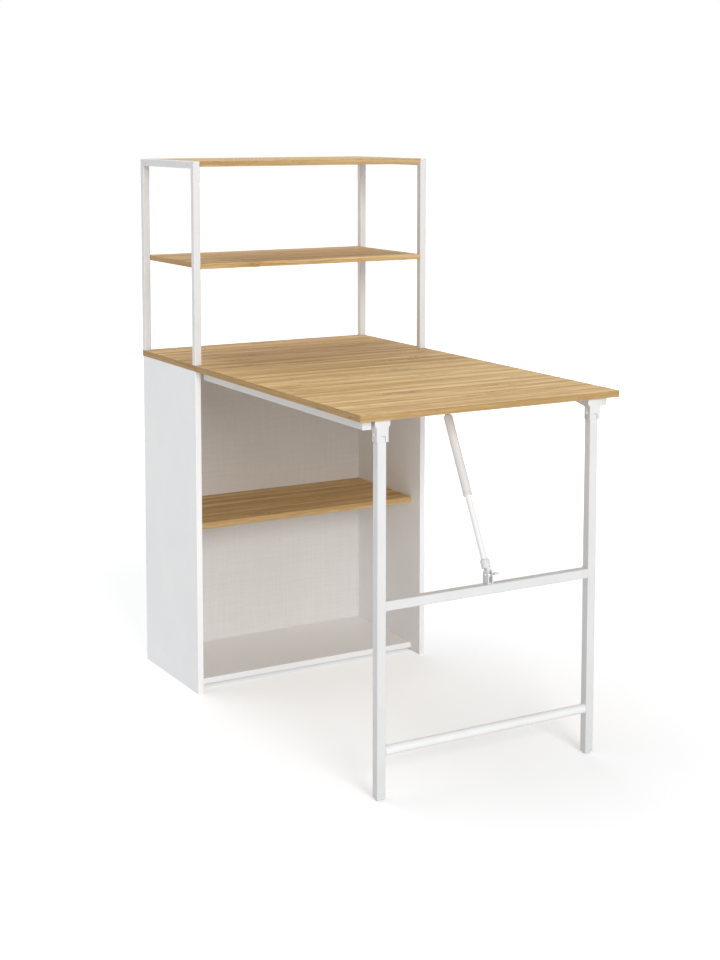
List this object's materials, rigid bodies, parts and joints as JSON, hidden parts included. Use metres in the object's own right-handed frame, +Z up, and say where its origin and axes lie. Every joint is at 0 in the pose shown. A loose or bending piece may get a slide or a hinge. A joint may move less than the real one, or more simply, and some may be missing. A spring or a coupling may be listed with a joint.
{
  "type": "folding desk",
  "caption": "Folding desk: an open cabinet with a tube-framed hutch above, and a drop leaf carried by a fold-away leg frame with a telescopic strut.",
  "frame": {"origin": "on the floor, under the middle of the open desk", "axes": "+X to the right facing the open cabinet, +Y from the leaf's free end towards the back, +Z up"},
  "size_m": [0.6024, 1.034, 1.2],
  "materials": {
    "oak_board": "satin oak-grain laminate",
    "white_board": "matt white melamine",
    "back_board": "white linen-grain hardboard",
    "dowel_wood": "plain beech",
    "white_steel": "white powder coat",
    "white_plastic": "moulded white",
    "zinc_steel": "bright zinc"
  },
  "bodies": {
    "cabinet": {"side_panel_left": "white_board", "side_panel_right": "white_board", "bottom_board": "white_board", "middle_shelf": "oak_board", "cabinet_top": "oak_board", "back_panel": "back_board", "back_nails": "zinc_steel", "panel_dowels": "dowel_wood", "cam_bolts": "zinc_steel", "cam_locks": "zinc_steel", "post_front_left": "white_steel", "post_front_right": "white_steel", "post_rear_left": "white_steel", "post_rear_right": "white_steel", "top_bar_left": "white_steel", "top_bar_right": "white_steel", "top_shelf": "oak_board", "hutch_shelf": "oak_board", "shelf_screws": "zinc_steel", "post_inserts": "white_plastic", "post_studs": "zinc_steel", "hinge_plates_cabinet": "zinc_steel", "hinge_screws_cabinet": "zinc_steel", "hinge_pins": "zinc_steel"},
    "leaf": {"leaf_board": "oak_board", "leaf_rail_left": "white_steel", "leaf_rail_right": "white_steel", "rail_end_caps": "white_plastic", "rail_screws": "zinc_steel", "hinge_plates_leaf": "zinc_steel", "hinge_screws_leaf": "zinc_steel", "leg_bracket_left": "white_steel", "leg_bracket_right": "white_steel", "bracket_screws": "zinc_steel", "leg_pivot_pins": "zinc_steel", "strut_hanger": "white_steel", "hanger_screws": "zinc_steel", "strut_pivot_pin": "zinc_steel"},
    "leg_frame": {"leg_left": "white_steel", "leg_right": "white_steel", "cross_bar": "white_steel", "foot_bar": "white_steel", "leg_glides": "white_plastic", "leg_top_plugs": "white_plastic", "strut_clevis": "white_steel"},
    "pin": {"release_pin": "zinc_steel", "pull_loop": "zinc_steel"},
    "strut_upper": {"strut_tube": "white_steel", "strut_upper_eye": "white_steel", "strut_gland": "white_plastic"},
    "strut_lower": {"strut_rod": "white_steel", "rod_end": "white_steel"}
  },
  "joints": [
    {"name": "leaf_fold", "type": "hinge", "parent": "cabinet", "child": "leaf", "pos_m": [0, 0.2165, 0.7335], "axis": [1, 0, 0], "range_deg": [0, 70]},
    {"name": "leg_fold", "type": "hinge", "parent": "leaf", "child": "leg_frame", "pos_m": [0, -0.4955, 0.7075], "axis": [1, 0, 0], "range_deg": [0, 90]},
    {"name": "pin_pull", "type": "slide", "parent": "leg_frame", "child": "pin", "axis": [1, 0, 0], "range_m": [0, 0.012]},
    {"name": "strut_swing", "type": "hinge", "parent": "leaf", "child": "strut_upper", "pos_m": [0, -0.33235, 0.7267], "axis": [1, 0, 0], "range_deg": [0, 117]},
    {"name": "strut_slide", "type": "slide", "parent": "strut_upper", "child": "strut_lower", "axis": [0, 0.454, 0.891], "range_m": [0, 0.126]}
  ],
  "couplings": [
    {"joint": "strut_swing", "follows": "leg_fold", "ratio": 1.3},
    {"joint": "strut_slide", "follows": "leg_fold", "m_per_rad": 0.080214}
  ]
}
